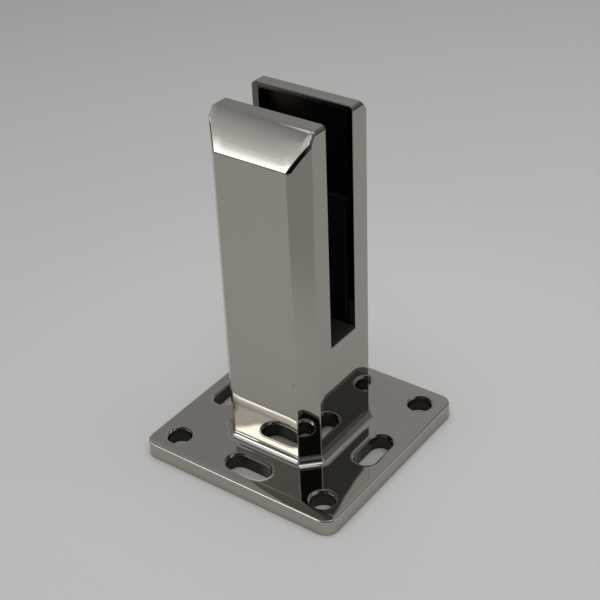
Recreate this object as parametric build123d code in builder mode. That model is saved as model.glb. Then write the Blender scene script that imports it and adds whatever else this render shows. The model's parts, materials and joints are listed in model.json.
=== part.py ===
from build123d import *
import os

# Glass railing spigot with a square base plate, in millimetres.
# Origin at the centre of the plate's underside, +Z up, the glass runs along X.
# The jaw at -Y is the clean outer one, the jaw at +Y carries the clamp screws.

# Base plate
plate_width = 100.0
plate_depth = 100.0
plate_thickness = 7.5
plate_corner_radius = 6.2
plate_edge_radius = 0.9
bolt_edge_distance = 11.5
bolt_hole_diameter = 10.2
bolt_slot_length = 21.6
hole_rim_chamfer = 0.8

# Post
post_width = 48.5
post_depth = 51.0
post_height = 162.2
post_chamfer = 7.0
post_edge_radius = 1.0
foot_radius = 4.0

# Arched bevel along the outer top edge of each jaw
bevel_height = 15.0
bevel_inset = 9.9
bevel_rise = 0.45
bevel_edge_radius = 0.9

# Slot between the jaws
slot_width = 18.0
slot_floor_height = 61.0
jaw_edge_radius = 0.4
jaw_end_radius = 2.0

# Pocket in the rear jaw and the shallow seat in the front jaw
pocket_side_rim = 3.4
pocket_top_rim = 2.0
pocket_depth = 5.0
pocket_corner_radius = 1.5
seat_depth = 1.0
seat_clearance = 0.2

# Rubber lining
block_thickness = 1.5
block_end_inset = 0.5
block_side_clearance = 0.3
fixed_pad_thickness = 3.0
pressure_pad_thickness = 2.8
pad_height = 57.0
pad_bottom_gap = 0.4
pad_corner_radius = 2.0
pad_edge_chamfer = 0.4

# Pressure plate
pressure_plate_thickness = 3.0
pressure_plate_clearance = 0.4
pressure_plate_rear_gap = 0.3
pressure_plate_chamfer = 0.3

# Clamp screws: hexagon socket set screws with a dog point
screw_diameter = 10.0
screw_length = 12.0
screw_spacing = 32.0
screw_running_gap = 0.08
screw_end_chamfer = 0.8
dog_diameter = 7.0
dog_length = 2.5
dog_edge = 0.4
dog_seat_depth = 1.9
dog_seat_gap = 0.1
key_across_flats = 5.0
key_depth = 4.5
key_mouth = 0.4
bore_mouth_chamfer = 0.7

# Places and faces worked out from the sizes above
bolt_spacing_x = plate_width - 2 * bolt_edge_distance
bolt_spacing_y = plate_depth - 2 * bolt_edge_distance
bevel_foot_height = post_height - bevel_height
slot_half = slot_width / 2
rear_pocket_y = slot_half + pocket_depth
front_seat_y = -slot_half - seat_depth
pocket_width = post_width - 2 * pocket_side_rim
pocket_height = post_height - pocket_top_rim - slot_floor_height
block_top = slot_floor_height + block_thickness
pad_bottom = block_top + pad_bottom_gap
pad_middle = pad_bottom + pad_height / 2
pad_width = pocket_width - 2 * pressure_plate_clearance
plate_rear_y = rear_pocket_y - pressure_plate_rear_gap
plate_front_y = plate_rear_y - pressure_plate_thickness
screw_tip_y = plate_rear_y - dog_seat_depth + dog_seat_gap
screw_heights = [pad_middle - screw_spacing / 2, pad_middle + screw_spacing / 2]

os.makedirs("parts", exist_ok=True)


def rear_facing(y, z=0.0):
    """Plane at depth y and height z, with its X along the glass and its normal towards +Y."""
    return Plane(origin=(0, y, z), x_dir=(-1, 0, 0), z_dir=(0, 1, 0))


# Spigot body: base plate, post and both jaws are one casting
with BuildPart() as spigot_body:
    # Plate with its softened upper edge
    with BuildSketch(Plane.XY):
        RectangleRounded(plate_width, plate_depth, plate_corner_radius)
    extrude(amount=plate_thickness)
    fillet(spigot_body.faces().sort_by(Axis.Z)[-1].edges(), plate_edge_radius)

    # Round hole at each corner, slotted hole at the middle of each side
    with BuildSketch(Plane.XY):
        with GridLocations(bolt_spacing_x, bolt_spacing_y, 2, 2):
            Circle(bolt_hole_diameter / 2)
        with GridLocations(0, bolt_spacing_y, 1, 2):
            SlotOverall(bolt_slot_length, bolt_hole_diameter)
        with GridLocations(bolt_spacing_x, 0, 2, 1):
            SlotOverall(bolt_slot_length, bolt_hole_diameter, rotation=90)
    extrude(amount=plate_thickness, mode=Mode.SUBTRACT)
    plate_top = spigot_body.faces().filter_by(Plane.XY).sort_by(Axis.Z)[-1]
    chamfer(plate_top.inner_wires().edges(), hole_rim_chamfer)

    # Post with broad flat corners, rising from the plate
    with BuildSketch(Plane.XY.offset(plate_thickness)) as post_sketch:
        Rectangle(post_width, post_depth)
        chamfer(post_sketch.vertices(), post_chamfer)
        fillet(post_sketch.vertices(), post_edge_radius)
    extrude(amount=post_height - plate_thickness)
    post_top = spigot_body.faces().sort_by(Axis.Z)[-1]
    fillet(post_top.edges().filter_by(Axis.Y), jaw_end_radius)

    # Concave radius where the post meets the plate
    foot_edges = (
        spigot_body.edges()
        .filter_by_position(Axis.Z, plate_thickness, plate_thickness)
        .filter_by_position(Axis.X, -post_width / 2, post_width / 2)
        .filter_by_position(Axis.Y, -post_depth / 2, post_depth / 2)
    )
    fillet(foot_edges, foot_radius)

    # Arched bevel, the same on both jaws
    with BuildSketch(Plane.YZ):
        with BuildLine():
            arch = SagittaArc(
                (-post_depth / 2, bevel_foot_height), (-post_depth / 2 + bevel_inset, post_height), bevel_rise
            )
            Polyline(arch @ 1, (-post_depth, post_height), (-post_depth, bevel_foot_height), arch @ 0)
        make_face()
        mirror(about=Plane.YZ)
    extrude(amount=post_width, both=True, mode=Mode.SUBTRACT)
    bevel_faces = spigot_body.faces().filter_by(GeomType.CYLINDER).sort_by(SortBy.AREA)[-2:]
    fillet(bevel_faces.edges(), bevel_edge_radius)

    # Slot for the glass, open at both ends and at the top
    with BuildSketch(Plane.YZ):
        with Locations((0, slot_floor_height)):
            Rectangle(slot_width, post_height, align=(Align.CENTER, Align.MIN))
    extrude(amount=post_width, both=True, mode=Mode.SUBTRACT)

    # Softened rim all round the slot, over the jaws, down their ends and across the floor's ends
    slot_edges = (
        spigot_body.edges()
        .filter_by_position(Axis.Y, -slot_half, slot_half)
        .filter_by_position(Axis.Z, slot_floor_height, post_height)
    )
    floor_sides = slot_edges.filter_by(Axis.X).group_by(Axis.Z)[0]
    fillet(slot_edges - floor_sides, jaw_edge_radius)

    # Pocket for the pressure plate in the rear jaw
    with BuildSketch(rear_facing(slot_half, slot_floor_height)) as pocket_sketch:
        Rectangle(pocket_width, pocket_height, align=(Align.CENTER, Align.MIN))
        fillet(pocket_sketch.vertices().group_by(Axis.Z)[-1], pocket_corner_radius)
    extrude(amount=pocket_depth, mode=Mode.SUBTRACT)

    # Shallow seat for the fixed pad in the front jaw
    with BuildSketch(rear_facing(front_seat_y, pad_middle)):
        RectangleRounded(
            pad_width + 2 * seat_clearance, pad_height + 2 * seat_clearance, pad_corner_radius + seat_clearance
        )
    extrude(amount=seat_depth, mode=Mode.SUBTRACT)

    # Screw bores through the rear jaw
    for height in screw_heights:
        with BuildSketch(rear_facing(rear_pocket_y, height)):
            Circle(screw_diameter / 2 + screw_running_gap)
        extrude(amount=post_depth / 2 - rear_pocket_y, mode=Mode.SUBTRACT)
    bore_mouths = (
        spigot_body.edges()
        .filter_by(GeomType.CIRCLE)
        .filter_by_position(Axis.Y, post_depth / 2, post_depth / 2)
    )
    chamfer(bore_mouths, bore_mouth_chamfer)
spigot_body.part.label = "spigot_body"
export_step(spigot_body.part, "parts/spigot_body.step")

# Setting block: the rubber strip that the glass stands on
with BuildPart() as setting_block:
    with BuildSketch(Plane.XY.offset(slot_floor_height)):
        Rectangle(post_width - 2 * block_end_inset, slot_width - 2 * block_side_clearance)
    extrude(amount=block_thickness)
    chamfer(setting_block.edges().group_by(Axis.Z)[-1], pad_edge_chamfer)
setting_block.part.label = "setting_block"
export_step(setting_block.part, "parts/setting_block.step")

# Fixed pad: rubber sheet bonded into the seat of the front jaw
with BuildPart() as fixed_pad:
    with BuildSketch(rear_facing(front_seat_y, pad_middle)):
        RectangleRounded(pad_width, pad_height, pad_corner_radius)
    extrude(amount=fixed_pad_thickness)
    chamfer(fixed_pad.edges().group_by(Axis.Y)[-1], pad_edge_chamfer)
fixed_pad.part.label = "fixed_pad"
export_step(fixed_pad.part, "parts/fixed_pad.step")

# Pressure plate: steel plate in the pocket, with a blind socket for each screw's point
with BuildPart() as pressure_plate:
    with BuildSketch(rear_facing(plate_front_y, pad_middle)):
        RectangleRounded(pad_width, pad_height, pad_corner_radius)
    extrude(amount=pressure_plate_thickness)
    chamfer(pressure_plate.edges().group_by(Axis.Y)[-1], pressure_plate_chamfer)
    for height in screw_heights:
        with BuildSketch(rear_facing(plate_rear_y, height)):
            Circle(dog_diameter / 2 + screw_running_gap)
        extrude(amount=-dog_seat_depth, mode=Mode.SUBTRACT)
pressure_plate.part.label = "pressure_plate"
export_step(pressure_plate.part, "parts/pressure_plate.step")

# Pressure pad: rubber sheet bonded to the face of the pressure plate
with BuildPart() as pressure_pad:
    with BuildSketch(rear_facing(plate_front_y, pad_middle)):
        RectangleRounded(pad_width, pad_height, pad_corner_radius)
    extrude(amount=-pressure_pad_thickness)
    chamfer(pressure_pad.edges().group_by(Axis.Y)[0], pad_edge_chamfer)
pressure_pad.part.label = "pressure_pad"
export_step(pressure_pad.part, "parts/pressure_pad.step")

# Clamp screws: turned blank with a dog point and a hexagon socket, one above the other
for name, height in zip(["clamp_screw_lower", "clamp_screw_upper"], screw_heights):
    with BuildPart() as clamp_screw:
        with BuildSketch(Plane.YZ):
            with BuildLine():
                Polyline(
                    (screw_tip_y, height),
                    (screw_tip_y, height + dog_diameter / 2 - dog_edge),
                    (screw_tip_y + dog_edge, height + dog_diameter / 2),
                    (screw_tip_y + dog_length, height + dog_diameter / 2),
                    (screw_tip_y + dog_length + screw_end_chamfer, height + screw_diameter / 2),
                    (screw_tip_y + screw_length - screw_end_chamfer, height + screw_diameter / 2),
                    (screw_tip_y + screw_length, height + screw_diameter / 2 - screw_end_chamfer),
                    (screw_tip_y + screw_length, height),
                    close=True,
                )
            make_face()
        revolve(axis=Axis((0, 0, height), (0, 1, 0)))
        with BuildSketch(rear_facing(screw_tip_y + screw_length, height)):
            RegularPolygon(key_across_flats / 2, 6, major_radius=False)
        extrude(amount=-key_depth, mode=Mode.SUBTRACT)
        socket_mouth = clamp_screw.faces().sort_by(Axis.Y)[-1].inner_wires()
        chamfer(socket_mouth.edges(), key_mouth)
    clamp_screw.part.label = name
    export_step(clamp_screw.part, "parts/" + name + ".step")
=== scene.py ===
"""Looks of a mirror-polished glass railing spigot: finishes, screw threads, studio and camera."""

import json
from math import cos, pi, radians, sin

import bmesh
import bpy
from mathutils import Matrix, Vector


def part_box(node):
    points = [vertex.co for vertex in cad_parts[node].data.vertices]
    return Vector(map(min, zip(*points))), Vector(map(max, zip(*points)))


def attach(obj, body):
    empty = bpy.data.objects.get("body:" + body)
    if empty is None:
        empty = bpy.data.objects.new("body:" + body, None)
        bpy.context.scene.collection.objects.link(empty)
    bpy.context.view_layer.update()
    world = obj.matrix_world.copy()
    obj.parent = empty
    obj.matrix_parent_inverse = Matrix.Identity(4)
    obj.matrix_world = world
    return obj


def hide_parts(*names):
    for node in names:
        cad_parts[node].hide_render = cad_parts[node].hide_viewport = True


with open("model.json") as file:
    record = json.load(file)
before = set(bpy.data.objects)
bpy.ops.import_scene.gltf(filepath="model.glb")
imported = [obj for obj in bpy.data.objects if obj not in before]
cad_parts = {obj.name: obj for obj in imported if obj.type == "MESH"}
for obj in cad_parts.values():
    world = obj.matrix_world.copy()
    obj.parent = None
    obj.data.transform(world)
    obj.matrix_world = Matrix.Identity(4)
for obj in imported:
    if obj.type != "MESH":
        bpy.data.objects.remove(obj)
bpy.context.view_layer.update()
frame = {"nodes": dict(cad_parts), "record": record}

MM = 0.001

# Sizes of the casting that its finishes follow; the bevel's arch is its rise over a straight bevel,
# and the bevel's slope is its length over its height
POST_HALF_WIDTH = 24.25 * MM
POST_HALF_DEPTH = 25.5 * MM
POST_CHAMFER = 7.0 * MM
POST_HEIGHT = 162.2 * MM
BEVEL_HEIGHT = 15.0 * MM
BEVEL_INSET = 9.9 * MM
BEVEL_ARCH = 0.54 * MM
PLATE_THICKNESS = 7.5 * MM
PLATE_HALF_SIDE = 50.0 * MM
HOLE_OFFSET = 38.5 * MM
HOLE_RADIUS = 5.1 * MM
HOLE_CHAMFER = 0.8 * MM
SLOT_HALF_RUN = 5.7 * MM
BEVEL_FOOT = POST_HEIGHT - BEVEL_HEIGHT
BEVEL_SLOPE = 1.2
RIM_RADIUS = HOLE_RADIUS + HOLE_CHAMFER
RIM_FOOT = PLATE_THICKNESS - HOLE_CHAMFER
PAD_LOW, PAD_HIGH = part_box("pressure_plate")

# x and y added up, which is the same anywhere on a chamfer down the post
CHAMFER_SUM = POST_HALF_WIDTH + POST_HALF_DEPTH - POST_CHAMFER

# Where masks over the casting ease in: each pair is the value that gives 0 and the value that gives 1
AT_BORE_WALL = (5.4 * MM, 5.2 * MM)
IN_REAR_JAW = (13.0 * MM, 13.5 * MM)
ARRIS_GROWING = (30.0 * MM, 60.0 * MM)
ABOVE_FOOT = (20.0 * MM, 27.0 * MM)
ON_BEVEL = (12.0 * MM, 14.0 * MM)
UP_BEVEL_ENDS = (150.0 * MM, 157.0 * MM)
FACE_TURNING = (0.03, 0.12)
BESIDE_SLOT = (12.0 * MM, 11.0 * MM)
AT_POST_TOP = (POST_HEIGHT - 0.6 * MM, POST_HEIGHT - 0.5 * MM)
LINE_LOWER_SIDE = (1.5 * MM, 1.35 * MM)
LINE_UPPER_SIDE = (-0.8 * MM, 0.5 * MM)
ON_CHAMFER = (0.45 * MM, 0.25 * MM)
ABOVE_BEVEL_FOOT = (146.4 * MM, 147.4 * MM)
LINE_FADING = (0.45, 0.8)
FACING_FRONT = (-0.4, -0.6)
INSIDE_RIM = (RIM_RADIUS + 0.2 * MM, RIM_RADIUS + 0.1 * MM)
ABOVE_RIM_FOOT = (RIM_FOOT - 0.2 * MM, RIM_FOOT)
BELOW_RIM_FOOT = (RIM_FOOT, RIM_FOOT - 0.2 * MM)
INSIDE_HOLE = (HOLE_RADIUS + 0.12 * MM, HOLE_RADIUS + 0.04 * MM)
AT_PLATE_SIDE = (49.4 * MM, 49.5 * MM)
AT_PLATE_TOP = (6.8 * MM, 6.9 * MM)
AT_UNDERSIDE = (0.05 * MM, 0.02 * MM)
NEAR_SMUDGE = (1.5 * MM, 0.4 * MM)
# The painted sheen at the pocket's top left eases in over these
POCKET_SHEEN_UP = (148.0 * MM, 160.0 * MM)
POCKET_SHEEN_LEFT = (4.0 * MM, -14.0 * MM)
# The painted glint in the hole walls toward the camera eases in and out over these
HOLE_GLINT_START = (34.0 * MM, 41.0 * MM)
HOLE_GLINT_END = (60.0 * MM, 56.0 * MM)

# Parts of the casting with a finish or painted shade of their own: centre and half size of a box, and its
# soft border;
# the smudge is a point on the front face
POCKET_BOX = (Vector((0, (PAD_LOW.y + PAD_HIGH.y) / 2, 111.5 * MM)), Vector((21.2, 3.4, 49.6)) * MM, 0.3 * MM)
TOP_RIM_BOX = (Vector((0, 0, 162.0)) * MM, Vector((21.6, 9.2, 2.4)) * MM, 0.3 * MM)
LEFT_RIM_BOX = (Vector((-22.8, 9.2, 112.0)) * MM, Vector((2.0, 0.7, 51.0)) * MM, 0.2 * MM)
SMUDGE = Vector((16.2, -25.5, 49.1)) * MM

# Colours that the casting reflects with
POLISHED = (0.54, 0.515, 0.475, 1)
# The pocket's as-cast steel painted near-black as shade, and a painted sheen at its top left
AS_CAST_SHADE = (0.006, 0.0055, 0.005, 1)
AS_CAST_PAINTED_SHEEN = (0.06, 0.048, 0.04, 1)
# Painted shade dulling the highlight on the slot's top edges
SLOT_TOP_EDGE_SHADE = (0.2, 0.19, 0.18, 1)
# Painted shade on the jaws' top rims by the slot
TOP_RIM_SHADE = (0.05, 0.042, 0.036, 1)
# Painted shade on the left end's rim facing the slot
LEFT_RIM_SHADE = (0.18, 0.168, 0.15, 1)
# A painted dark reflection along the bevels' slanting ends
BEVEL_LINE_DARK_REFLECTION = (0.01, 0.01, 0.009, 1)
# Painted shade on the hole rims' far sides
FAR_RIM_SHADE = (0.1, 0.095, 0.088, 1)
# A painted highlight on the plate's side edges
SIDE_EDGE_HIGHLIGHT = (0.9, 0.87, 0.82, 1)
# Hole walls painted dark as shade, and their painted glint
DRILLED_WALL_SHADE = (0.055, 0.05, 0.046, 1)
DRILLED_PAINTED_GLINT = (0.15, 0.145, 0.13, 1)
SMEARED = (0.33, 0.31, 0.28, 1)

# Roughness of the casting's finishes; two values are the least and the most of an uneven one
POLISHED_ROUGHNESS = (0.006, 0.016)
GROUND_ROUGHNESS = (0.22, 0.42)
AS_CAST_ROUGHNESS = 0.5
SLOT_TOP_EDGE_ROUGHNESS = 0.6
TOP_RIM_ROUGHNESS = 0.35
DRILLED_ROUGHNESS = 0.3
SMEARED_ROUGHNESS = 0.3

# The clamp screws and the bodies they turn with
SCREW_NODES = {"clamp_screw_lower": "lower_screw", "clamp_screw_upper": "upper_screw"}

# Their metric coarse thread, dog point and hexagon socket; a tooth's profile is places in a pitch, with radii
THREAD_PITCH = 1.5 * MM
THREAD_MAJOR_RADIUS = 5.0 * MM
THREAD_MINOR_RADIUS = 4.08 * MM
THREAD_CHAMFER = 0.8 * MM
THREAD_PROFILE = (
    (0, THREAD_MINOR_RADIUS), (0.25, THREAD_MINOR_RADIUS),
    (0.5625, THREAD_MAJOR_RADIUS), (0.6875, THREAD_MAJOR_RADIUS),
)
DOG_RADIUS = 3.5 * MM
DOG_LENGTH = 2.5 * MM
DOG_EDGE = 0.4 * MM
KEY_ACROSS_FLATS = 5.0 * MM
KEY_DEPTH = 4.5 * MM
KEY_MOUTH = 0.4 * MM
TURN_STEPS = 48
SHARP_ANGLE = radians(25)
SAME_PLACE = 0.001 * MM

# The camera stands where the photograph's camera stood
CAMERA_AZIMUTH = radians(36.873)
CAMERA_ELEVATION = radians(33.125)
CAMERA_ROLL = radians(-2.397)
CAMERA_DISTANCE = 547.388 * MM
CAMERA_AIM_HEIGHT = 80 * MM
CAMERA_SIDE_SHIFT = 1.805 * MM
CAMERA_UP_SHIFT = -7.304 * MM
CAMERA_LENS = 78.626


def add_node(tree, kind, settings=None, inputs=None):
    """A new node with its settings made, and each input set to a value or linked to a socket."""
    made = tree.nodes.new(kind)
    for name, value in (settings or {}).items():
        setattr(made, name, value)
    for name, value in (inputs or {}).items():
        if isinstance(value, bpy.types.NodeSocket):
            tree.links.new(value, made.inputs[name])
        else:
            made.inputs[name].default_value = value
    return made


def calc(tree, operation, *values, clamp=False):
    """The output of a Math node."""
    settings = {"operation": operation, "use_clamp": clamp}
    return add_node(tree, "ShaderNodeMath", settings, dict(enumerate(values))).outputs[0]


def product(tree, first, *others):
    """Several values multiplied together."""
    for other in others:
        first = calc(tree, "MULTIPLY", first, other)
    return first


def vector_calc(tree, operation, *values):
    """The vector output of a Vector Math node."""
    settings = {"operation": operation}
    return add_node(tree, "ShaderNodeVectorMath", settings, dict(enumerate(values))).outputs[0]


def length_of(tree, vector):
    """The length of a vector."""
    return add_node(tree, "ShaderNodeVectorMath", {"operation": "LENGTH"}, {0: vector}).outputs["Value"]


def split(tree, vector):
    """The three parts of a vector."""
    return add_node(tree, "ShaderNodeSeparateXYZ", None, {0: vector}).outputs[:3]


def ramp_between(tree, value, low, high, smooth=True):
    """0 at low and 1 at high, eased between them and held beyond them; low may be the larger one."""
    settings = {"interpolation_type": "SMOOTHSTEP" if smooth else "LINEAR", "clamp": True}
    inputs = {"Value": value, "From Min": low, "From Max": high, "To Min": 0.0, "To Max": 1.0}
    return add_node(tree, "ShaderNodeMapRange", settings, inputs).outputs["Result"]


def mix_values(tree, factor, first, second):
    """A value between first and second."""
    inputs = {"Factor": factor, "A": first, "B": second}
    return add_node(tree, "ShaderNodeMix", {"data_type": "FLOAT"}, inputs).outputs["Result"]


def mix_colours(tree, factor, first, second):
    """A colour between first and second."""
    made = add_node(tree, "ShaderNodeMix", {"data_type": "RGBA", "blend_type": "MIX"})
    for socket, value in ((made.inputs[0], factor), (made.inputs[6], first), (made.inputs[7], second)):
        if isinstance(value, bpy.types.NodeSocket):
            tree.links.new(value, socket)
        else:
            socket.default_value = value
    return made.outputs[2]


def noise(tree, position, scale, detail=2.0):
    """Noise about 0.5 over the surface; scale is in cells per metre."""
    inputs = {"Vector": position, "Scale": scale, "Detail": detail, "Roughness": 0.5}
    return add_node(tree, "ShaderNodeTexNoise", None, inputs).outputs["Fac"]


def new_group(name, inputs, outputs):
    """An empty shader node group with named inputs and outputs, and its group input and output nodes."""
    tree = bpy.data.node_groups.new(name, "ShaderNodeTree")
    for socket_name, kind, value in inputs:
        socket = tree.interface.new_socket(socket_name, in_out="INPUT", socket_type="NodeSocket" + kind)
        if value is not None:
            socket.default_value = value
    for socket_name, kind in outputs:
        tree.interface.new_socket(socket_name, in_out="OUTPUT", socket_type="NodeSocket" + kind)
    return tree, tree.nodes.new("NodeGroupInput").outputs, tree.nodes.new("NodeGroupOutput")


def place_group(tree, group, inputs):
    """The outputs of a node group placed in a material with its own values."""
    return add_node(tree, "ShaderNodeGroup", {"node_tree": group}, inputs).outputs


def new_material(name):
    """A material with its tree, its Principled shader and the object's own coordinates."""
    material = bpy.data.materials.new(name)
    material.use_nodes = True
    tree = material.node_tree
    shader = tree.nodes["Principled BSDF"]
    position = tree.nodes.new("ShaderNodeTexCoord").outputs["Object"]
    return material, tree, shader, position


def put_on(tree, shader, inputs):
    """Sets or links the shader's own sockets."""
    for name, value in inputs.items():
        if isinstance(value, bpy.types.NodeSocket):
            tree.links.new(value, shader.inputs[name])
        else:
            shader.inputs[name].default_value = value


# Effects that several finishes share

def make_box_mask():
    """1 inside an upright box, easing to 0 over a soft border."""
    tree, given, out = new_group(
        "box_mask",
        [("Position", "Vector", None), ("Centre", "Vector", None), ("Half Size", "Vector", None),
         ("Border", "Float", 0.0005)],
        [("Mask", "Float")],
    )
    offset = vector_calc(tree, "SUBTRACT", given["Position"], given["Centre"])
    depth = vector_calc(tree, "SUBTRACT", given["Half Size"], vector_calc(tree, "ABSOLUTE", offset))
    x, y, z = split(tree, depth)
    least = calc(tree, "MINIMUM", calc(tree, "MINIMUM", x, y), z)
    tree.links.new(ramp_between(tree, least, 0.0, given["Border"]), out.inputs["Mask"])
    return tree


def make_scratches():
    """Fine hairlines in one direction, as a height."""
    tree, given, out = new_group(
        "fine_scratches",
        [("Position", "Vector", None), ("Stretch", "Vector", (1.0, 1.0, 1.0)), ("Scale", "Float", 900.0)],
        [("Height", "Float")],
    )
    stretched = vector_calc(tree, "MULTIPLY", given["Position"], given["Stretch"])
    inputs = {"Vector": stretched, "Scale": given["Scale"], "Detail": 3.0, "Roughness": 0.6}
    lines = add_node(tree, "ShaderNodeTexNoise", None, inputs).outputs["Fac"]
    tree.links.new(lines, out.inputs["Height"])
    return tree


def make_cloudiness():
    """Slow blotches from wiping and handling, from 0 to 1."""
    tree, given, out = new_group(
        "cloudiness",
        [("Position", "Vector", None), ("Scale", "Float", 40.0), ("Coverage", "Float", 0.5)],
        [("Mask", "Float")],
    )
    inputs = {"Vector": given["Position"], "Scale": given["Scale"], "Detail": 4.0, "Roughness": 0.55,
              "Distortion": 0.6}
    blotches = add_node(tree, "ShaderNodeTexNoise", None, inputs).outputs["Fac"]
    low = calc(tree, "SUBTRACT", 0.95, given["Coverage"])
    mask = ramp_between(tree, blotches, low, calc(tree, "ADD", low, 0.25))
    tree.links.new(mask, out.inputs["Mask"])
    return tree


def distance_from(tree, x, y, centre_x, centre_y):
    """Distance in plan from a point, or from any of its mirror images when x and y are absolute."""
    off = add_node(tree, "ShaderNodeCombineXYZ", None, {
        0: calc(tree, "SUBTRACT", x, centre_x), 1: calc(tree, "SUBTRACT", y, centre_y)}).outputs[0]
    return length_of(tree, off)


def past(tree, value, limit):
    """How far a value is past a limit, and 0 before it."""
    return calc(tree, "MAXIMUM", calc(tree, "SUBTRACT", value, limit), 0.0)


def edge_fall(tree, distance, reach, power=2.0):
    """1 at an edge, falling to 0 at its reach."""
    near = calc(tree, "SUBTRACT", 1.0, calc(tree, "DIVIDE", distance, reach), clamp=True)
    return calc(tree, "POWER", near, power)


def hump(tree, share):
    """0 where a share is 0 or 1, and 1 in the middle."""
    return product(tree, calc(tree, "SUBTRACT", share, calc(tree, "POWER", share, 2.0)), 4.0)


def make_hole_distance():
    """Distance in plan from the nearest of the plate's eight holes' middle lines."""
    tree, given, out = new_group("hole_distance", [("Position", "Vector", None)], [("Distance", "Float")])
    x, y = split(tree, vector_calc(tree, "ABSOLUTE", given["Position"]))[:2]
    corner = distance_from(tree, x, y, HOLE_OFFSET, HOLE_OFFSET)
    front = distance_from(tree, past(tree, x, SLOT_HALF_RUN), y, 0.0, HOLE_OFFSET)
    side = distance_from(tree, x, past(tree, y, SLOT_HALF_RUN), HOLE_OFFSET, 0.0)
    nearest = calc(tree, "MINIMUM", corner, calc(tree, "MINIMUM", front, side))
    tree.links.new(nearest, out.inputs["Distance"])
    return tree


def make_plate_relief():
    """Height that falls away near the plate's edges and at its hole rims, as polishing leaves them."""
    tree, given, out = new_group(
        "plate_relief",
        [("Position", "Vector", None), ("Hole Distance", "Float", 1.0),
         ("Side Reach", "Float", 3.0 * MM), ("Side Drop", "Float", 0.2 * MM),
         ("Front Reach", "Float", 5.0 * MM), ("Front Drop", "Float", 0.6 * MM),
         ("Rim Reach", "Float", 1.2 * MM), ("Rim Drop", "Float", 0.25 * MM),
         ("Rim Curl", "Float", 0.15 * MM)],
        [("Height", "Float")],
    )
    x, y = split(tree, vector_calc(tree, "ABSOLUTE", given["Position"]))[:2]
    to_side = calc(tree, "SUBTRACT", PLATE_HALF_SIDE, x)
    side = product(tree, edge_fall(tree, to_side, given["Side Reach"], power=1.3), given["Side Drop"])
    to_front = calc(tree, "SUBTRACT", PLATE_HALF_SIDE, y)
    front = product(tree, edge_fall(tree, to_front, given["Front Reach"], power=1.6), given["Front Drop"])
    edge = calc(tree, "MAXIMUM", side, front)

    from_rim = calc(tree, "SUBTRACT", given["Hole Distance"], RIM_RADIUS)
    rim = product(tree, edge_fall(tree, from_rim, given["Rim Reach"]), given["Rim Drop"])
    down_chamfer = calc(tree, "DIVIDE", from_rim, -HOLE_CHAMFER, clamp=True)
    curl = product(tree, hump(tree, down_chamfer), given["Rim Curl"])
    drop = calc(tree, "ADD", edge, calc(tree, "SUBTRACT", rim, curl))
    tree.links.new(product(tree, drop, -1.0), out.inputs["Height"])
    return tree


def make_rolled_edges():
    """Height that falls away near the post's arrises and round its bevels, as polishing leaves them."""
    tree, given, out = new_group(
        "rolled_edges",
        [("Position", "Vector", None),
         ("Arris Reach", "Float", 3.0 * MM), ("Arris Drop", "Float", 0.1 * MM),
         ("Bevel Reach", "Float", 3.0 * MM), ("Bevel Rise", "Float", 0.1 * MM)],
        [("Height", "Float")],
    )
    x, y, z = split(tree, vector_calc(tree, "ABSOLUTE", given["Position"]))
    near_side = distance_from(tree, x, y, POST_HALF_WIDTH, POST_HALF_DEPTH - POST_CHAMFER)
    near_front = distance_from(tree, x, y, POST_HALF_WIDTH - POST_CHAMFER, POST_HALF_DEPTH)
    arris = edge_fall(tree, calc(tree, "MINIMUM", near_side, near_front), given["Arris Reach"])
    growing = mix_values(tree, ramp_between(tree, z, *ARRIS_GROWING), 0.4, 1.0)
    above_foot = ramp_between(tree, z, *ABOVE_FOOT)
    arris_drop = product(tree, arris, growing, above_foot, given["Arris Drop"])

    to_end = calc(tree, "SUBTRACT", POST_HALF_WIDTH, x)
    to_chamfer = product(tree, calc(tree, "SUBTRACT", CHAMFER_SUM, calc(tree, "ADD", x, y)), cos(pi / 4))
    to_foot = product(tree, calc(tree, "SUBTRACT", z, BEVEL_FOOT), BEVEL_SLOPE)
    on_bevel = ramp_between(tree, y, *ON_BEVEL)
    ends_share = mix_values(tree, ramp_between(tree, z, *UP_BEVEL_ENDS), 0.4, 0.1)
    for distance, share in ((to_end, ends_share), (to_chamfer, ends_share), (to_foot, 1.0)):
        fall = product(tree, edge_fall(tree, distance, given["Bevel Reach"]), share)
        on_bevel = product(tree, on_bevel, calc(tree, "SUBTRACT", 1.0, fall))
    bevel_rise = product(tree, on_bevel, given["Bevel Rise"])
    tree.links.new(calc(tree, "SUBTRACT", bevel_rise, arris_drop), out.inputs["Height"])
    return tree


def make_bore_thread():
    """Height of the thread cut in one clamp screw's bore, whose axis runs along Y."""
    tree, given, out = new_group(
        "bore_thread",
        [("Position", "Vector", None), ("Axis Height", "Float", 0.1), ("Depth", "Float", 0.4 * MM)],
        [("Height", "Float")],
    )
    x, y, z = split(tree, given["Position"])
    up = calc(tree, "SUBTRACT", z, given["Axis Height"])
    turn = calc(tree, "DIVIDE", calc(tree, "ARCTAN2", x, up), 2 * pi)
    along = calc(tree, "SUBTRACT", calc(tree, "DIVIDE", y, THREAD_PITCH), turn)
    flank = calc(tree, "PINGPONG", along, 0.5)
    inside = ramp_between(tree, distance_from(tree, x, up, 0.0, 0.0), *AT_BORE_WALL)
    in_rear_jaw = ramp_between(tree, y, *IN_REAR_JAW)
    height = product(tree, flank, inside, in_rear_jaw, given["Depth"])
    tree.links.new(height, out.inputs["Height"])
    return tree


box_mask = make_box_mask()
bore_thread = make_bore_thread()
hole_distance = make_hole_distance()
plate_relief = make_plate_relief()
rolled_edges = make_rolled_edges()
fine_scratches = make_scratches()
cloudiness = make_cloudiness()


# Finishes

def inside_box(tree, position, box):
    """1 inside one of the boxes given at the top."""
    centre, half_size, border = box
    return place_group(tree, box_mask, {
        "Position": position, "Centre": centre, "Half Size": half_size, "Border": border})["Mask"]


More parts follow.
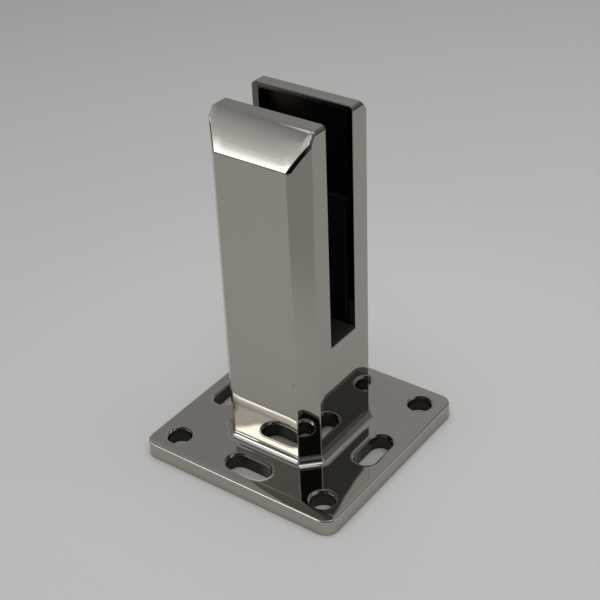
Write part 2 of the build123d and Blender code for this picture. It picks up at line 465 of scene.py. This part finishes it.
def slot_top_edge_mask(tree, y, z, facing):
    """The rounded edges at the top of the slot, where roughness and painted shade dull the highlight."""
    turning = ramp_between(tree, calc(tree, "MINIMUM", facing[1], facing[2]), *FACE_TURNING)
    beside_slot = ramp_between(tree, calc(tree, "ABSOLUTE", y), *BESIDE_SLOT)
    return product(tree, turning, beside_slot, ramp_between(tree, z, *AT_POST_TOP))


def painted_bevel_line_mask(tree, x, y, z):
    """A painted dark reflection: the line on the post's chamfers along the slanting ends of the bevels."""
    across, deep = calc(tree, "ABSOLUTE", x), calc(tree, "ABSOLUTE", y)
    up_bevel = calc(tree, "DIVIDE", calc(tree, "SUBTRACT", z, BEVEL_FOOT), BEVEL_HEIGHT)
    bevel_front = calc(tree, "ADD", product(tree, up_bevel, -BEVEL_INSET), POST_HALF_DEPTH)
    bevel_front = calc(tree, "ADD", bevel_front, product(tree, hump(tree, up_bevel), BEVEL_ARCH))
    below_bevel = calc(tree, "SUBTRACT", bevel_front, deep)
    off_chamfer = calc(tree, "SUBTRACT", CHAMFER_SUM, calc(tree, "ADD", across, deep))
    return product(
        tree,
        ramp_between(tree, below_bevel, *LINE_LOWER_SIDE),
        ramp_between(tree, below_bevel, *LINE_UPPER_SIDE),
        ramp_between(tree, off_chamfer, *ON_CHAMFER),
        ramp_between(tree, z, *ABOVE_BEVEL_FOOT),
        mix_values(tree, ramp_between(tree, up_bevel, *LINE_FADING), 1.0, 0.55),
    )


def far_rim_mask(tree, z, to_hole, normal_y):
    """The far sides of the plate's hole rims, whose chamfers face the front; they are painted darker as
    shade.
    """
    return product(
        tree,
        ramp_between(tree, normal_y, *FACING_FRONT),
        ramp_between(tree, to_hole, *INSIDE_RIM),
        ramp_between(tree, z, *ABOVE_RIM_FOOT),
    )


def casting_relief(tree, position, to_hole):
    """The casting's soft rolls, the threads of its bores and the slow waves of its polish."""
    rolled = place_group(tree, rolled_edges, {
        "Position": position,
        "Arris Reach": 4.0 * MM, "Arris Drop": 0.12 * MM,
        "Bevel Reach": 3.4 * MM, "Bevel Rise": 0.055 * MM,
    })["Height"]
    plate = place_group(tree, plate_relief, {
        "Position": position, "Hole Distance": to_hole,
        "Side Reach": 2.4 * MM, "Side Drop": 0.42 * MM,
        "Front Reach": 6.0 * MM, "Front Drop": 0.92 * MM,
        "Rim Reach": 0.9 * MM, "Rim Drop": 0.13 * MM, "Rim Curl": 0.05 * MM,
    })["Height"]
    waves = product(tree, noise(tree, position, 70.0, detail=1.0), 0.006 * MM)
    height = calc(tree, "ADD", calc(tree, "ADD", rolled, plate), waves)
    for screw in SCREW_NODES:
        low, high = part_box(screw)
        axis_height = (low.z + high.z) / 2
        cut = place_group(tree, bore_thread, {"Position": position, "Axis Height": axis_height})["Height"]
        height = calc(tree, "ADD", height, cut)
    inputs = {"Strength": 1.0, "Distance": 1.0, "Height": height}
    return add_node(tree, "ShaderNodeBump", None, inputs).outputs[0]


def make_polished_steel():
    """Mirror-polished cast stainless steel; the pocket is left as cast and the holes as drilled. Its colour
    carries painted shade in the pocket, hole walls, slot edges and rims, a painted dark reflection along the
    bevels, a painted sheen and glint, and a painted highlight on the plate's side edges.
    """
    material, tree, shader, position = new_material("polished_steel")
    normal = tree.nodes.new("ShaderNodeTexCoord").outputs["Normal"]
    facing = split(tree, vector_calc(tree, "ABSOLUTE", normal))
    x, y, z = split(tree, position)
    to_hole = place_group(tree, hole_distance, {"Position": position})["Distance"]

    pocket = inside_box(tree, position, POCKET_BOX)
    top_rim = product(tree, inside_box(tree, position, TOP_RIM_BOX), facing[1])
    left_rim = inside_box(tree, position, LEFT_RIM_BOX)
    slot_top_edge = slot_top_edge_mask(tree, y, z, facing)
    holes = product(tree, ramp_between(tree, to_hole, *INSIDE_HOLE), ramp_between(tree, z, *BELOW_RIM_FOOT))
    # A painted highlight along the plate's side edges
    side_edge_highlight = product(tree, ramp_between(tree, calc(tree, "ABSOLUTE", x), *AT_PLATE_SIDE),
                         ramp_between(tree, z, *AT_PLATE_TOP))
    underside = ramp_between(tree, z, *AT_UNDERSIDE)
    from_smudge = length_of(tree, vector_calc(tree, "SUBTRACT", position, SMUDGE))
    smeared = product(tree, noise(tree, position, 900.0), ramp_between(tree, from_smudge, *NEAR_SMUDGE))

    clouds = place_group(tree, cloudiness, {"Position": position, "Scale": 45.0, "Coverage": 0.5})["Mask"]
    grinding = place_group(tree, fine_scratches, {
        "Position": position, "Stretch": (0.02, 1.0, 1.0), "Scale": 2500.0})["Height"]
    roughness = mix_values(tree, clouds, *POLISHED_ROUGHNESS)
    ground = mix_values(tree, grinding, *GROUND_ROUGHNESS)
    for mask, level in ((pocket, AS_CAST_ROUGHNESS), (slot_top_edge, SLOT_TOP_EDGE_ROUGHNESS),
                        (holes, DRILLED_ROUGHNESS), (underside, ground),
                        (smeared, SMEARED_ROUGHNESS), (top_rim, TOP_RIM_ROUGHNESS)):
        roughness = mix_values(tree, mask, roughness, level)

    # A painted sheen at the pocket's top left
    pocket_painted_sheen = product(tree, ramp_between(tree, z, *POCKET_SHEEN_UP),
                           ramp_between(tree, x, *POCKET_SHEEN_LEFT))
    # A painted glint in the hole walls toward the camera
    toward_camera = calc(tree, "SUBTRACT", x, y)
    hole_painted_glint = product(tree, ramp_between(tree, toward_camera, *HOLE_GLINT_START),
                         ramp_between(tree, toward_camera, *HOLE_GLINT_END))
    # Over the polished colour: painted shade on the slot's top edges and top rims, a painted dark reflection
    # along the bevels, painted shade on the far rims, a painted highlight on the side edges, painted shade on
    # the left rim, pocket and hole walls, a painted sheen and glint, and a smudge
    colour = POLISHED
    for mask, tint in ((slot_top_edge, SLOT_TOP_EDGE_SHADE), (top_rim, TOP_RIM_SHADE),
                       (painted_bevel_line_mask(tree, x, y, z), BEVEL_LINE_DARK_REFLECTION),
                       (far_rim_mask(tree, z, to_hole, split(tree, normal)[1]), FAR_RIM_SHADE),
                       (side_edge_highlight, SIDE_EDGE_HIGHLIGHT), (left_rim, LEFT_RIM_SHADE),
                       (pocket, mix_colours(tree, pocket_painted_sheen, AS_CAST_SHADE, AS_CAST_PAINTED_SHEEN)),
                       (holes, mix_colours(tree, hole_painted_glint, DRILLED_WALL_SHADE, DRILLED_PAINTED_GLINT)),
                       (smeared, SMEARED)):
        colour = mix_colours(tree, mask, colour, tint)
    put_on(tree, shader, {"Metallic": 1.0, "Base Color": colour, "Roughness": roughness,
                          "Normal": casting_relief(tree, position, to_hole)})
    return material


def make_satin_steel():
    """Rolled sheet with fine lines along its length."""
    material, tree, shader, position = new_material("satin_steel")
    lines = place_group(tree, fine_scratches, {
        "Position": position, "Stretch": (1.0, 1.0, 0.03), "Scale": 3000.0})["Height"]
    bump = add_node(tree, "ShaderNodeBump", None, {"Strength": 0.5, "Distance": 0.02 * MM, "Height": lines})
    put_on(tree, shader, {"Metallic": 1.0, "Base Color": (0.52, 0.51, 0.49, 1),
                          "Roughness": mix_values(tree, lines, 0.25, 0.42), "Normal": bump.outputs[0]})
    return material


def make_screw_steel():
    """Plain stainless screw stock, slightly dull."""
    material, tree, shader, position = new_material("screw_steel")
    clouds = place_group(tree, cloudiness, {"Position": position, "Scale": 300.0, "Coverage": 0.5})["Mask"]
    roughness = mix_values(tree, clouds, 0.22, 0.38)
    put_on(tree, shader, {"Metallic": 1.0, "Base Color": (0.5, 0.49, 0.47, 1), "Roughness": roughness})
    return material


def make_rubber(name, colour, roughness, grain):
    """Rubber sheet with a fine moulded grain."""
    material, tree, shader, position = new_material(name)
    pores = noise(tree, position, 2500.0, detail=3.0)
    bump = add_node(tree, "ShaderNodeBump", None, {"Strength": 0.6, "Distance": grain, "Height": pores})
    bloom = place_group(tree, cloudiness, {"Position": position, "Scale": 90.0, "Coverage": 0.4})["Mask"]
    lighter = tuple(channel * 1.5 for channel in colour[:3]) + (1.0,)
    put_on(tree, shader, {
        "Base Color": mix_colours(tree, bloom, colour, lighter),
        "Roughness": mix_values(tree, bloom, roughness, roughness + 0.12), "Specular IOR Level": 0.15,
        "Normal": bump.outputs[0],
    })
    return material


finishes = {
    "polished_steel": make_polished_steel(),
    "satin_steel": make_satin_steel(),
    "screw_steel": make_screw_steel(),
    "black_rubber": make_rubber("black_rubber", (0.003, 0.003, 0.003, 1), roughness=0.6, grain=0.01 * MM),
    "block_rubber": make_rubber("block_rubber", (0.016, 0.014, 0.013, 1), roughness=0.6, grain=0.015 * MM),
}
for part in frame["record"]["subparts"]:
    frame["nodes"][part["node"]].material_slots[0].material = finishes[part["material_slot"]]


# Clamp screws

def boundary_at(shape, y):
    """The open edges of a shape that lie in the upright plane at y."""
    return [edge for edge in shape.edges if edge.is_boundary and all(
        abs(vert.co.y - y) < SAME_PLACE for vert in edge.verts)]


def turn_thread(shape, start, end, height):
    """A row of teeth turned once about the axis while it moves on by one pitch, and cut off at both ends."""
    row = []
    y = start - THREAD_PITCH
    while y < end + THREAD_PITCH:
        for along, radius in THREAD_PROFILE:
            row.append(shape.verts.new((0, y + along * THREAD_PITCH, height + radius)))
        y += THREAD_PITCH
    edges = [shape.edges.new(pair) for pair in zip(row, row[1:])]
    bmesh.ops.spin(shape, geom=row + edges, cent=(0, 0, height), axis=(0, 1, 0), angle=2 * pi,
                   steps=TURN_STEPS, dvec=(0, THREAD_PITCH / TURN_STEPS, 0))
    bmesh.ops.remove_doubles(shape, verts=shape.verts, dist=0.002 * MM)
    for y, drop_before, drop_after in ((start, True, False), (start + THREAD_CHAMFER, False, False),
                                       (end - THREAD_CHAMFER, False, False), (end, False, True)):
        bmesh.ops.bisect_plane(shape, geom=shape.verts[:] + shape.edges[:] + shape.faces[:], dist=0.0001 * MM,
                               plane_co=(0, y, height), plane_no=(0, 1, 0),
                               clear_inner=drop_before, clear_outer=drop_after)


def turn_down_ends(shape, start, end, height):
    """Cuts the thread back to the cones at its ends."""
    for vert in shape.verts:
        from_start, from_end = vert.co.y - start, end - vert.co.y
        limit = THREAD_MAJOR_RADIUS - max(THREAD_CHAMFER - from_end, 0)
        if from_start < THREAD_CHAMFER:
            limit = DOG_RADIUS + (THREAD_MAJOR_RADIUS - DOG_RADIUS) * from_start / THREAD_CHAMFER
        off_axis = Vector((vert.co.x, 0, vert.co.z - height))
        if off_axis.length > limit:
            off_axis *= limit / off_axis.length
            vert.co.x, vert.co.z = off_axis.x, height + off_axis.z


def add_dog_point(shape, start, tip, height):
    """A plain round point from the thread's end to the tip, with a small chamfer, closed by a flat face."""
    chamfer_start = tip + DOG_EDGE
    for y_from, y_to, radius in ((start, chamfer_start, DOG_RADIUS),
                                 (chamfer_start, tip, DOG_RADIUS - DOG_EDGE)):
        made = bmesh.ops.extrude_edge_only(shape, edges=boundary_at(shape, y_from))["geom"]
        for vert in made:
            if isinstance(vert, bmesh.types.BMVert):
                off_axis = Vector((vert.co.x, 0, vert.co.z - height)).normalized() * radius
                vert.co = (off_axis.x, y_to, height + off_axis.z)
    bmesh.ops.holes_fill(shape, edges=boundary_at(shape, tip), sides=0)


def hexagon(shape, y, height, across_flats):
    """The corners of an upright hexagon about the axis at y."""
    corner_radius = across_flats / 2 / cos(radians(30))
    corners = [(corner_radius * cos(radians(angle)), y, height + corner_radius * sin(radians(angle)))
               for angle in range(0, 360, 60)]
    return [shape.verts.new(corner) for corner in corners]


def add_key_socket(shape, end, height):
    """A hexagon socket with a small countersunk mouth in the outer end."""
    outer_rim = boundary_at(shape, end)
    rings = [hexagon(shape, end, height, KEY_ACROSS_FLATS + 2 * KEY_MOUTH),
             hexagon(shape, end - KEY_MOUTH, height, KEY_ACROSS_FLATS),
             hexagon(shape, end - KEY_DEPTH, height, KEY_ACROSS_FLATS)]
    for outer, inner in zip(rings, rings[1:]):
        for corner in range(6):
            shape.faces.new((outer[corner - 1], outer[corner], inner[corner], inner[corner - 1]))
    shape.faces.new(rings[-1])
    mouth = [shape.edges.get((rings[0][corner - 1], rings[0][corner])) for corner in range(6)]
    bmesh.ops.triangle_fill(shape, use_beauty=True, edges=outer_rim + mouth, normal=(0, 1, 0))


def make_threaded_screw(cad_node, body):
    """A set screw with its real thread, in the place of its plain blank."""
    low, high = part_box(cad_node)
    height = (low.z + high.z) / 2
    thread_start = low.y + DOG_LENGTH
    shape = bmesh.new()
    turn_thread(shape, thread_start, high.y, height)
    turn_down_ends(shape, thread_start, high.y, height)
    add_dog_point(shape, thread_start, low.y, height)
    add_key_socket(shape, high.y, height)
    bmesh.ops.recalc_face_normals(shape, faces=shape.faces)
    for face in shape.faces:
        face.smooth = True
    for edge in shape.edges:
        edge.smooth = edge.calc_face_angle(0) < SHARP_ANGLE
    mesh = bpy.data.meshes.new(cad_node + "_threaded")
    shape.to_mesh(mesh)
    shape.free()
    mesh.materials.append(finishes["screw_steel"])
    screw = bpy.data.objects.new(cad_node + "_threaded", mesh)
    bpy.context.scene.collection.objects.link(screw)
    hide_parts(cad_node)
    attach(screw, body)


for screw_node, screw_body in SCREW_NODES.items():
    make_threaded_screw(screw_node, screw_body)


# Studio

# Half the floor's side, and its gap below the plate, which keeps the two faces apart
FLOOR_HALF_SIDE = 4.0
FLOOR_GAP = 0.02 * MM

# Colours of the floor as the camera and matt surfaces see it
FLOOR_COLOURS = ((0.535, 0.530, 0.525, 1), (0.555, 0.550, 0.545, 1))
# A painted glow just behind the post
FLOOR_PAINTED_GLOW = (0.585, 0.578, 0.572, 1)
# Painted shade toward the back left
FLOOR_BACK_LEFT_SHADE = (0.445, 0.443, 0.441, 1)
# A painted shadow under the plate
FLOOR_PLATE_SHADOW = (0.4, 0.395, 0.39, 1)

# Colours of the floor as the polished steel mirrors it: a painted reflection, darker as painted shade to the
# right, toward the front right and far off
MIRRORED_LEFT = (0.475, 0.464, 0.452, 1)
MIRRORED_RIGHT_SHADE = (0.43, 0.422, 0.412, 1)
MIRRORED_FRONT_RIGHT_SHADE = (0.33, 0.325, 0.317, 1)
MIRRORED_FAR_SHADE = (0.1, 0.098, 0.095, 1)

# Directions over the floor, and where its colours ease in, in metres
BACK_LEFT = (-0.9, 0.45)
FRONT_RIGHT = (0.8, -0.6)
BEHIND_POST = (-0.03, 0.06)
NEAR_BEHIND_POST = (0.2, 0.05)
TOWARD_BACK_LEFT = (0.0, 0.65)
UNDER_PLATE = (PLATE_HALF_SIDE, PLATE_HALF_SIDE - 3.0 * MM)
TO_THE_RIGHT = (-0.1, 0.1)
TO_FRONT_RIGHT = (0.12, 0.24)
FAR_OFF = (0.35, 0.7)

# The lamp overhead
LAMP_SIDE = 1.4
LAMP_POWER = 13.5
LAMP_PLACE = (0.15, -0.1, 1.25)


def distance_along(tree, x, y, direction):
    """How far a point lies along a direction in plan."""
    return calc(tree, "ADD", product(tree, x, direction[0]), product(tree, y, direction[1]))


def seen_floor(tree, position, x, y):
    """The floor's colour: a painted glow just behind the post, painted shade toward the back left and a
    painted shadow under the plate.
    """
    colour = mix_colours(tree, noise(tree, position, 400.0, detail=3.0), *FLOOR_COLOURS)
    # Painted glow just behind the post
    painted_glow = ramp_between(tree, distance_from(tree, x, y, *BEHIND_POST), *NEAR_BEHIND_POST)
    colour = mix_colours(tree, painted_glow, colour, FLOOR_PAINTED_GLOW)
    # Painted shade toward the back left
    shade = ramp_between(tree, distance_along(tree, x, y, BACK_LEFT), *TOWARD_BACK_LEFT, smooth=False)
    colour = mix_colours(tree, shade, colour, FLOOR_BACK_LEFT_SHADE)
    # A painted shadow under the plate
    reach = calc(tree, "MAXIMUM", calc(tree, "ABSOLUTE", x), calc(tree, "ABSOLUTE", y))
    return mix_colours(tree, ramp_between(tree, reach, *UNDER_PLATE), colour, FLOOR_PLATE_SHADOW)


def mirrored_floor(tree, x, y):
    """The floor's colour in the polished steel, a painted reflection with painted shade to the right, toward
    the front right and far off.
    """
    to_the_right = ramp_between(tree, calc(tree, "ADD", x, y), *TO_THE_RIGHT)
    colour = mix_colours(tree, to_the_right, MIRRORED_LEFT, MIRRORED_RIGHT_SHADE)
    to_front_right = ramp_between(tree, distance_along(tree, x, y, FRONT_RIGHT), *TO_FRONT_RIGHT)
    colour = mix_colours(tree, to_front_right, colour, MIRRORED_FRONT_RIGHT_SHADE)
    far_off = ramp_between(tree, distance_from(tree, x, y, 0.0, 0.0), *FAR_OFF)
    return mix_colours(tree, far_off, colour, MIRRORED_FAR_SHADE)


def make_floor():
    """A large pale sheet just under the plate."""
    mesh = bpy.data.meshes.new("floor")
    shape = bmesh.new()
    bmesh.ops.create_grid(shape, x_segments=1, y_segments=1, size=FLOOR_HALF_SIDE)
    bmesh.ops.translate(shape, verts=shape.verts, vec=(0, 0, -FLOOR_GAP))
    shape.to_mesh(mesh)
    shape.free()
    floor = bpy.data.objects.new("floor", mesh)
    bpy.context.scene.collection.objects.link(floor)
    material, tree, shader, position = new_material("pale_paper")
    x, y = split(tree, position)[:2]
    glossy = tree.nodes.new("ShaderNodeLightPath").outputs["Is Glossy Ray"]
    # The steel sees the floor's painted reflection colours instead of its own
    colour = mix_colours(tree, glossy, seen_floor(tree, position, x, y), mirrored_floor(tree, x, y))
    put_on(tree, shader, {"Base Color": colour, "Roughness": 0.95, "Specular IOR Level": 0.1})
    mesh.materials.append(material)


def make_overhead_lamp():
    """A broad soft lamp above the object; the steel's reflections come from the surroundings."""
    lamp = bpy.data.lights.new("overhead", "AREA")
    lamp.shape = "SQUARE"
    lamp.size = LAMP_SIDE
    lamp.energy = LAMP_POWER
    holder = bpy.data.objects.new("overhead", lamp)
    holder.location = LAMP_PLACE
    holder.visible_glossy = False
    bpy.context.scene.collection.objects.link(holder)


def make_light_patch():
    """Replaces the light of the surroundings inside a patch with soft borders, by direction."""
    tree, given, out = new_group(
        "light_patch",
        [("Direction", "Vector", None), ("Light", "Float", 0.0), ("Azimuth", "Float", 0.0),
         ("Half Width", "Float", 0.3), ("Side Softness", "Float", 0.1), ("Low", "Float", 0.0),
         ("Low Softness", "Float", 0.05), ("High", "Float", 0.5), ("High Softness", "Float", 0.05),
         ("Slope", "Float", 0.0), ("Strength", "Float", 1.0)],
        [("Light", "Float")],
    )
    turned = add_node(tree, "ShaderNodeVectorRotate", {"rotation_type": "Z_AXIS"}, {
        "Vector": given["Direction"], "Angle": product(tree, given["Azimuth"], -1.0)}).outputs[0]
    x, y, z = split(tree, turned)
    off_azimuth = calc(tree, "ARCTAN2", y, x)
    off_side = calc(tree, "ABSOLUTE", off_azimuth)
    sloped = product(tree, off_azimuth, given["Slope"])
    elevation = calc(tree, "SUBTRACT", calc(tree, "ARCSINE", z), sloped)
    side = ramp_between(tree, off_side, calc(tree, "ADD", given["Half Width"], given["Side Softness"]),
                        calc(tree, "SUBTRACT", given["Half Width"], given["Side Softness"]))
    low = ramp_between(tree, elevation, calc(tree, "SUBTRACT", given["Low"], given["Low Softness"]),
                       calc(tree, "ADD", given["Low"], given["Low Softness"]))
    high = ramp_between(tree, elevation, calc(tree, "ADD", given["High"], given["High Softness"]),
                        calc(tree, "SUBTRACT", given["High"], given["High Softness"]))
    light = mix_values(tree, product(tree, side, low, high), given["Light"], given["Strength"])
    tree.links.new(light, out.inputs["Light"])
    return tree


# Light toward the front by elevation in degrees, from the dark horizon to the overhead light
FRONT_LEVELS = [
    (-20, 0.3), (-14, 0.12), (10.5, 0.12), (12, 2.0), (16.5, 2.2), (17.8, 1.95), (20, 1.65), (22, 1.15),
    (24.5, 0.77), (28, 0.61), (31, 0.5), (34, 0.39), (36, 0.31), (37.5, 0.24), (44, 0.33), (50, 0.2),
    (56, 0.19), (62, 0.12), (66, 0.25), (80, 0.3),
]

# Patches of the surroundings, each laid over the ones before it: azimuth from +X and half width,
# softness of the sides, lowest edge and its softness, highest edge and its softness, all in degrees,
# slope of those edges, and strength; the strength of the front patch is read off its levels
OVERHEAD_PATCH = (0, 180, 1, 68, 12, 100, 1, 0.0, 0.3)
FRONT_PATCH = (-114, 46, 12, -20, 2, 75, 5, 0.0)
LIGHT_PATCHES = [
    (-37, 50, 15, 68, 4, 88, 3, 0.0, 1.3),
    (-37, 30, 8, -20, 3, 62, 3, 0.0, 0.12),
    (43, 30, 8, -20, 3, 17, 2, 0.0, 0.12),
    (56, 21, 6, 17, 2, 45, 2, 0.0, 0.15),
    (-68, 38, 6, -20, 3, 30, 3, 0.0, 0.12),
    (178, 22, 5, -20, 3, 25, 4, 0.0, 0.25),
    (-119, 5, 2.5, 10.5, 1.0, 19.5, 3, 0.0, 3.6),
    (-117, 8, 4, 22, 3, 38.3, 1.0, 0.0, 1.25),
    (-126, 2.5, 1.5, 29, 3, 38.3, 0.8, 0.0, 0.8),
    (-129, 8, 1.5, 37.4, 0.5, 44, 2, 0.0, 1.05),
    (-129, 8, 2, 38.5, 0.12, 42, 0.5, 0.0, 3.6),
    (-129, 9, 2, 39.75, 0.2, 44, 1.0, 0.36, 0.22),
    (57, 4, 1.5, 38, 2, 46, 3, 0.0, 0.55),
    (55, 5, 2, 35, 1.5, 42.05, 0.12, -1.1, 0.075),
    (-37, 16, 5, 30, 4, 50, 6, 0.0, 0.01),
    (139, 12, 5, -20, 2, 66, 4, 0.0, 0.28),
]
SURROUNDINGS_LEVEL = 0.33
BACKGROUND = (0.42, 0.42, 0.415, 1)
FILL_LEVEL = 0.32


def levels_by_elevation(tree, elevation, levels):
    """Light read off a list of elevations and strengths, straight between them."""
    lowest, highest = radians(levels[0][0]), radians(levels[-1][0])
    fraction = ramp_between(tree, elevation, lowest, highest, smooth=False)
    strongest = max(strength for angle, strength in levels)
    curve = add_node(tree, "ShaderNodeValToRGB", None, {"Fac": fraction})
    stops = curve.color_ramp.elements
    while len(stops) < len(levels):
        stops.new(1.0)
    for stop, (angle, strength) in zip(stops, levels):
        stop.position = (radians(angle) - lowest) / (highest - lowest)
        stop.color = (strength / strongest,) * 3 + (1,)
    return product(tree, curve.outputs["Color"], strongest)


def make_world():
    """The camera sees a pale backdrop, matt surfaces an even fill and polished ones the light patches."""
    world = bpy.data.worlds.new("studio")
    bpy.context.scene.world = world
    world.use_nodes = True
    tree = world.node_tree
    tree.nodes.clear()
    direction = tree.nodes.new("ShaderNodeTexCoord").outputs["Generated"]
    light_patch = make_light_patch()

    def lay_patch(light, azimuth, half_width, side_soft, low, low_soft, high, high_soft, slope, strength):
        return place_group(tree, light_patch, {
            "Direction": direction, "Light": light, "Azimuth": radians(azimuth),
            "Half Width": radians(half_width), "Side Softness": radians(side_soft),
            "Low": radians(low), "Low Softness": radians(low_soft),
            "High": radians(high), "High Softness": radians(high_soft),
            "Slope": slope, "Strength": strength,
        })["Light"]

    front = levels_by_elevation(tree, calc(tree, "ARCSINE", split(tree, direction)[2]), FRONT_LEVELS)
    light = lay_patch(SURROUNDINGS_LEVEL, *OVERHEAD_PATCH)
    light = lay_patch(light, *FRONT_PATCH, front)
    for patch in LIGHT_PATCHES:
        light = lay_patch(light, *patch)
    ray = tree.nodes.new("ShaderNodeLightPath").outputs
    level = mix_values(tree, ray["Is Glossy Ray"], FILL_LEVEL, light)
    studio = add_node(tree, "ShaderNodeBackground", None, {"Color": (1.0, 1.0, 1.0, 1), "Strength": level})
    backdrop = add_node(tree, "ShaderNodeBackground", None, {"Color": BACKGROUND, "Strength": 1.0})
    both = add_node(tree, "ShaderNodeMixShader", None, {
        0: ray["Is Camera Ray"], 1: studio.outputs[0], 2: backdrop.outputs[0]})
    add_node(tree, "ShaderNodeOutputWorld", None, {"Surface": both.outputs[0]})


def make_camera():
    """The photograph's camera."""
    back = Vector((sin(CAMERA_AZIMUTH) * cos(CAMERA_ELEVATION),
                   -cos(CAMERA_AZIMUTH) * cos(CAMERA_ELEVATION), sin(CAMERA_ELEVATION)))
    level_right = Vector((cos(CAMERA_AZIMUTH), sin(CAMERA_AZIMUTH), 0))
    level_up = back.cross(level_right)
    aim = Vector((0, 0, CAMERA_AIM_HEIGHT)) + level_right * CAMERA_SIDE_SHIFT + level_up * CAMERA_UP_SHIFT
    right = level_right * cos(CAMERA_ROLL) + level_up * sin(CAMERA_ROLL)
    up = back.cross(right)
    camera = bpy.data.objects.new("camera", bpy.data.cameras.new("camera"))
    camera.data.lens = CAMERA_LENS
    camera.data.sensor_width = 36.0
    camera.data.clip_start = 0.01
    camera.data.clip_end = 50.0
    turn = Matrix((right, up, back)).transposed().to_4x4()
    camera.matrix_world = Matrix.Translation(aim + back * CAMERA_DISTANCE) @ turn
    bpy.context.scene.collection.objects.link(camera)
    bpy.context.scene.camera = camera


make_floor()
make_overhead_lamp()
make_world()
make_camera()
bpy.context.scene.view_settings.view_transform = "Standard"
